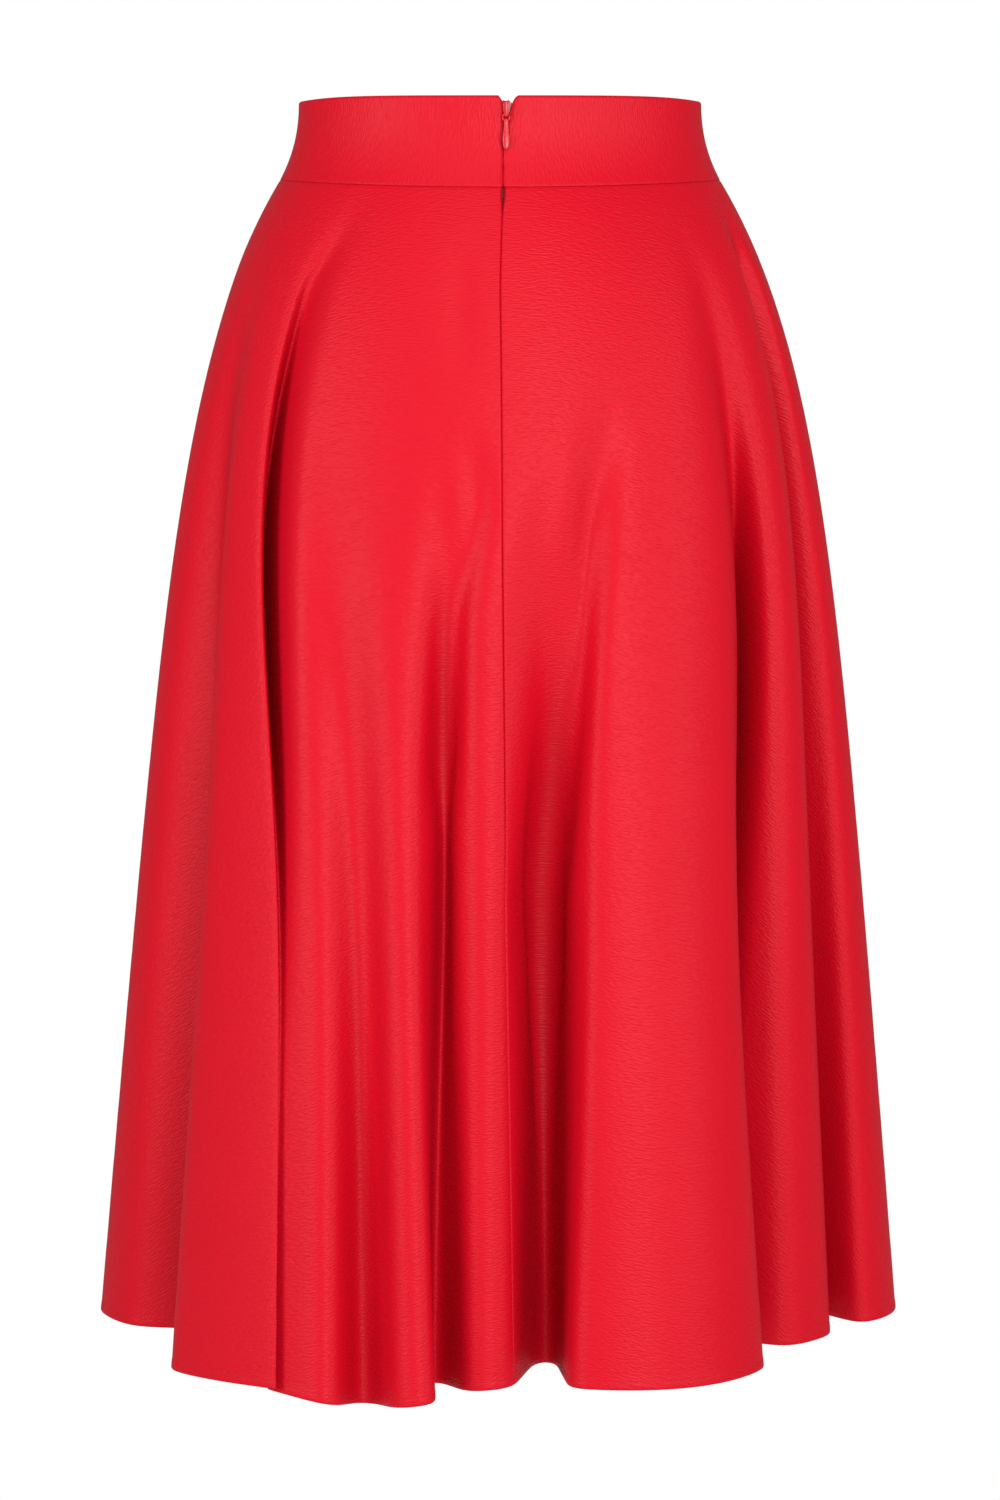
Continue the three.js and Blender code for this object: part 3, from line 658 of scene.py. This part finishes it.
def closed_ring_faces(rows, sides, wraps):
    """Faces between rows of points that each close on themselves, capped at the ends unless they wrap."""
    faces = []
    for i in range(rows if wraps else rows - 1):
        here, low = i * sides, (i + 1) % rows * sides
        for j in range(sides):
            right = (j + 1) % sides
            faces.append((here + j, here + right, low + right, low + j))
    if not wraps:
        faces.append(tuple(range(sides - 1, -1, -1)))
        faces.append(tuple(range((rows - 1) * sides, rows * sides)))
    return faces


def pull_ring():
    """An oval of wire that hangs from the origin."""
    half_across, half_down = (RING["width"] - RING["wire"]) / 2, (RING["height"] - RING["wire"]) / 2
    points = []
    for i in range(2 * PULL_SIDES):
        turn = math.pi * i / PULL_SIDES
        for j in range(PULL_SIDES):
            around = 2 * math.pi * j / PULL_SIDES
            out = RING["wire"] / 2 * math.cos(around)
            x = (half_across + out) * math.sin(turn)
            z = (half_down + out) * math.cos(turn) - half_down
            points.append((x, RING["wire"] / 2 * math.sin(around), z))
    return points, closed_ring_faces(2 * PULL_SIDES, PULL_SIDES, wraps=True)


def pull_drop():
    """The flattened drop that is taken hold of."""
    points = []
    for row in DROP_PROFILE:
        for j in range(PULL_SIDES):
            around = 2 * math.pi * j / PULL_SIDES
            x, y = row["half"] * math.sin(around), row["half"] * DROP_FLATNESS * math.cos(around)
            points.append((x, y, -DROP_START - row["down"]))
    return points, closed_ring_faces(len(DROP_PROFILE), PULL_SIDES, wraps=False)


def zip_pull(material):
    """The wire ring and the drop as one piece, hung from the hinge."""
    ring_points, ring_faces = pull_ring()
    drop_points, drop_faces = pull_drop()
    points = np.array(ring_points + drop_points)
    faces = ring_faces + [tuple(len(ring_points) + corner for corner in face) for face in drop_faces]
    tilt = math.radians(PULL_TILT)
    turned = np.column_stack([
        points[:, 0],
        points[:, 1] * math.cos(tilt) - points[:, 2] * math.sin(tilt),
        points[:, 1] * math.sin(tilt) + points[:, 2] * math.cos(tilt),
    ])
    piece = mesh_object("pull_tab", turned + HINGE, faces, material)
    rounding = piece.modifiers.new("rounding", "SUBSURF")
    rounding.levels = rounding.render_levels = 2
    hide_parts("zip_pull")
    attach(piece, "pull")


def slider_cheeks(material):
    """The slider's two rounded cheeks, which show between the lips on each side of its bridge."""
    heights = np.linspace(CHEEKS["top"], CHEEKS["bottom"], CHEEKS["steps"])
    spacing = np.linspace(CHEEKS["apart"], CHEEKS["together"], CHEEKS["steps"])
    paths = [
        [inside_back(HINGE[0] + side * away, z, CHEEKS["depth"]) for away, z in zip(spacing, heights)]
        for side in (-1, 1)
    ]
    swelling = np.sin(np.linspace(CHEEK_BLUNTNESS, math.pi - CHEEK_BLUNTNESS, CHEEKS["steps"])) ** 0.5
    points, faces = tubes(np.array(paths), swelling * CHEEKS["radius"], CHEEKS["sides"])
    piece = mesh_object("slider_cheeks", points, faces, material)
    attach(piece, GARMENT)


def finish_slider(material):
    """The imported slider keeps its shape, with softened edges."""
    slider = frame["nodes"]["zip_slider"]
    slider.data.materials.clear()
    slider.data.materials.append(material)
    weld = slider.modifiers.new("weld", "WELD")
    weld.merge_threshold = SLIDER_WELD * MM
    bevel = slider.modifiers.new("bevel", "BEVEL")
    bevel.width = SLIDER_BEVEL * MM
    bevel.segments = 3
    bevel.limit_method = "ANGLE"
    for face in slider.data.polygons:
        face.use_smooth = True


# ---- Materials ----

# Each material's two colours, which a texture mixes
SATIN_RED = ((0.455, 0.0014, 0.0100, 1), (0.485, 0.0018, 0.0120, 1))
ENAMEL = ((0.42, 0.006, 0.012, 1), (0.52, 0.012, 0.020, 1))
TAPE_RED = ((0.33, 0.003, 0.010, 1), (0.42, 0.006, 0.016, 1))
NYLON_RED = ((0.36, 0.004, 0.012, 1), (0.46, 0.010, 0.022, 1))
THREAD_RED = ((0.30, 0.002, 0.009, 1), (0.46, 0.004, 0.014, 1))

# Textures, in repeats per metre. The fine ripples run across the skirt and up and down the band.
PANEL_RIPPLES, BAND_RIPPLES = (230, 1000, 1), (1000, 230, 1)
DYE, PATCHES, WEAR, ORANGE_PEEL = 14, 700, 900, 2500
WEAVE, THREAD_TWIST, NYLON_TWIST = 380.0, 3000, 1800

# Bump heights in metres
RIPPLE_HEIGHT, WEAVE_HEIGHT, FIBRE_HEIGHT, PEEL_HEIGHT = 0.00036, 0.00012, 0.00004, 0.00003


def principled(name, roughness, specular=0.5):
    material = bpy.data.materials.new(name)
    material.use_nodes = True
    nodes = material.node_tree.nodes
    shader = nodes["Principled BSDF"]
    shader.inputs["Roughness"].default_value = roughness
    shader.inputs["Specular IOR Level"].default_value = specular
    return material, shader, nodes, material.node_tree.links


def flat_place(nodes):
    """Each point's place on the flat cut."""
    cut = nodes.new("ShaderNodeAttribute")
    cut.attribute_name = "grain"
    return cut.outputs["Vector"]


def satin(name, ripple_scale):
    """Satin-backed crepe: fine wavy ripples across the cloth, a matt glow and a faint uneven dye."""
    material, shader, nodes, links = principled(name, roughness=0.46, specular=0.12)
    place = flat_place(nodes)
    ripples = noise(nodes, links, place, ripple_scale, detail=0.0, distortion=0.3)
    dye = noise(nodes, links, place, (DYE, DYE, DYE), detail=3.0)
    links.new(mixed(nodes, links, dye, SATIN_RED), shader.inputs["Base Color"])
    links.new(bump(nodes, links, ripples, RIPPLE_HEIGHT), shader.inputs["Normal"])
    return material


def enamel():
    """Glossy enamel on the slider and pull, with a faint orange-peel surface."""
    material, shader, nodes, links = principled("enamel", roughness=0.33, specular=0.3)
    shader.inputs["Coat Weight"].default_value = 0.15
    shader.inputs["Coat Roughness"].default_value = 0.12
    place = nodes.new("ShaderNodeTexCoord").outputs["Object"]
    patches = noise(nodes, links, place, (PATCHES, PATCHES, PATCHES), detail=2.0)
    links.new(mixed(nodes, links, patches, ENAMEL), shader.inputs["Base Color"])
    peel = noise(nodes, links, place, (ORANGE_PEEL, ORANGE_PEEL, ORANGE_PEEL), detail=0.0)
    links.new(bump(nodes, links, peel, PEEL_HEIGHT), shader.inputs["Normal"])
    return material


def woven_tape():
    """Matt twill tape: fine, slightly wavy slanting ribs."""
    material, shader, nodes, links = principled("woven_tape", roughness=0.8, specular=0.2)
    place = flat_place(nodes)
    weave = nodes.new("ShaderNodeTexWave")
    weave.bands_direction = "DIAGONAL"
    weave.inputs["Scale"].default_value = WEAVE
    weave.inputs["Distortion"].default_value = 2.0
    weave.inputs["Detail Scale"].default_value = 2.0
    links.new(place, weave.inputs["Vector"])
    wear = noise(nodes, links, place, (WEAR, WEAR, WEAR), detail=2.0)
    links.new(mixed(nodes, links, wear, TAPE_RED), shader.inputs["Base Color"])
    links.new(bump(nodes, links, weave, WEAVE_HEIGHT), shader.inputs["Normal"])
    return material


def fibre(name, colours, roughness, twist):
    """Nylon or thread: a round strand with fine ridges."""
    material, shader, nodes, links = principled(name, roughness)
    place = nodes.new("ShaderNodeTexCoord").outputs["Object"]
    ridges = noise(nodes, links, place, (twist, twist, twist), detail=1.0, distortion=0.5)
    links.new(mixed(nodes, links, ridges, colours), shader.inputs["Base Color"])
    links.new(bump(nodes, links, ridges, FIBRE_HEIGHT), shader.inputs["Normal"])
    return material


def mixed(nodes, links, texture, colours):
    """The output of a mix of two colours by a texture."""
    colour = nodes.new("ShaderNodeMix")
    colour.data_type = "RGBA"
    colour.inputs["A"].default_value, colour.inputs["B"].default_value = colours
    links.new(texture.outputs["Fac"], colour.inputs["Factor"])
    return colour.outputs["Result"]


def noise(nodes, links, vector, scale, detail, distortion=0.0):
    """Noise stretched by its scale, in repeats per metre along each axis."""
    mapping = nodes.new("ShaderNodeMapping")
    mapping.inputs["Scale"].default_value = scale
    links.new(vector, mapping.inputs["Vector"])
    texture = nodes.new("ShaderNodeTexNoise")
    texture.inputs["Scale"].default_value = 1.0
    texture.inputs["Detail"].default_value = detail
    texture.inputs["Distortion"].default_value = distortion
    links.new(mapping.outputs["Vector"], texture.inputs["Vector"])
    return texture


def bump(nodes, links, texture, height):
    """The normals of a surface raised by a texture, up to a height in metres."""
    node = nodes.new("ShaderNodeBump")
    node.inputs["Strength"].default_value = 1.0
    node.inputs["Distance"].default_value = height
    links.new(texture.outputs["Fac"], node.inputs["Height"])
    return node.outputs["Normal"]


# ---- Camera, light and floor ----

# Metres here, except for the sensor
CAMERA_DISTANCE = 3.4
VIEW_HEIGHT = 0.96  # what the frame's height covers at the skirt's middle
AIM_Z = -0.3882
SENSOR = 36.0


def add_camera():
    camera = bpy.data.cameras.new("camera")
    eye = Vector((0, -CAMERA_DISTANCE, 0))
    aim = Vector((0, 0, AIM_Z))
    camera.sensor_width = SENSOR
    camera.lens = SENSOR * (aim - eye).length / VIEW_HEIGHT
    holder = bpy.data.objects.new("camera", camera)
    holder.location = eye
    holder.rotation_euler = (aim - eye).to_track_quat("-Z", "Y").to_euler()
    bpy.context.scene.collection.objects.link(holder)
    bpy.context.scene.camera = holder


LIGHTS = [
    dict(name="key", place=(0.7, -3.0, 0.4), aim=(0, 0, -0.35), size=1.2, power=71),
    dict(name="left", place=(-2.3, -1.6, 0.2), aim=(0, 0, -0.35), size=1.5, power=54),
    dict(name="right", place=(2.3, -1.5, 0.2), aim=(0, 0, -0.35), size=1.5, power=36),
    dict(name="above", place=(-0.5, -2.0, 1.9), aim=(0, 0, -0.1), size=1.2, power=18),
]
AMBIENT = 0.25  # how strongly the white studio lights the skirt, where the camera sees it at full strength
FLOOR = dict(half=3.0, height=-1.1)


def add_lights():
    """Four soft area lights in a white studio."""
    for row in LIGHTS:
        light = bpy.data.lights.new(row["name"], "AREA")
        light.size = row["size"]
        light.energy = row["power"]
        holder = bpy.data.objects.new(row["name"], light)
        holder.location = row["place"]
        direction = Vector(row["aim"]) - Vector(row["place"])
        holder.rotation_euler = direction.to_track_quat("-Z", "Y").to_euler()
        bpy.context.scene.collection.objects.link(holder)
    world = bpy.data.worlds.new("studio")
    world.use_nodes = True
    nodes, links = world.node_tree.nodes, world.node_tree.links
    background = nodes["Background"]
    path = nodes.new("ShaderNodeLightPath")
    strength = nodes.new("ShaderNodeMapRange")
    strength.inputs["To Min"].default_value = AMBIENT
    strength.inputs["To Max"].default_value = 1.0
    links.new(path.outputs["Is Camera Ray"], strength.inputs["Value"])
    links.new(strength.outputs["Result"], background.inputs["Strength"])
    background.inputs["Color"].default_value = (1, 1, 1, 1)
    bpy.context.scene.world = world
    bpy.context.scene.view_settings.view_transform = "Standard"


def add_floor():
    """A pale floor that reads as white as the studio behind it."""
    size, height = FLOOR["half"], FLOOR["height"]
    mesh = bpy.data.meshes.new("floor")
    corners = [(-size, -size, height), (size, -size, height), (size, size, height), (-size, size, height)]
    mesh.from_pydata(corners, [], [(0, 1, 2, 3)])
    floor = bpy.data.objects.new("floor", mesh)
    bpy.context.scene.collection.objects.link(floor)
    material, shader, nodes, links = principled("floor", roughness=0.9)
    shader.inputs["Base Color"].default_value = (0.6, 0.6, 0.6, 1)
    glow = nodes.new("ShaderNodeEmission")
    path = nodes.new("ShaderNodeLightPath")
    mix = nodes.new("ShaderNodeMixShader")
    links.new(path.outputs["Is Camera Ray"], mix.inputs["Fac"])
    links.new(shader.outputs["BSDF"], mix.inputs[1])
    links.new(glow.outputs["Emission"], mix.inputs[2])
    links.new(mix.outputs["Shader"], nodes["Material Output"].inputs["Surface"])
    mesh.materials.append(material)


# ---- The scene ----

panel_satin = satin("satin_panel", PANEL_RIPPLES)
band_satin = satin("satin_band", BAND_RIPPLES)
for row in BAND_PIECES:
    band_piece(row, band_satin)
for row in PANELS:
    skirt_panel(row, panel_satin)
hem_stitches(fibre("thread", THREAD_RED, roughness=0.5, twist=THREAD_TWIST))
tape = woven_tape()
zip_tape("zip_tape_left_woven", "zip_tape_left", "left", tape)
zip_tape("zip_tape_right_woven", "zip_tape_right", "right", tape)
zip_coil(fibre("nylon", NYLON_RED, roughness=0.35, twist=NYLON_TWIST))
red_enamel = enamel()
zip_pull(red_enamel)
slider_cheeks(red_enamel)
finish_slider(red_enamel)
add_camera()
add_lights()
add_floor()
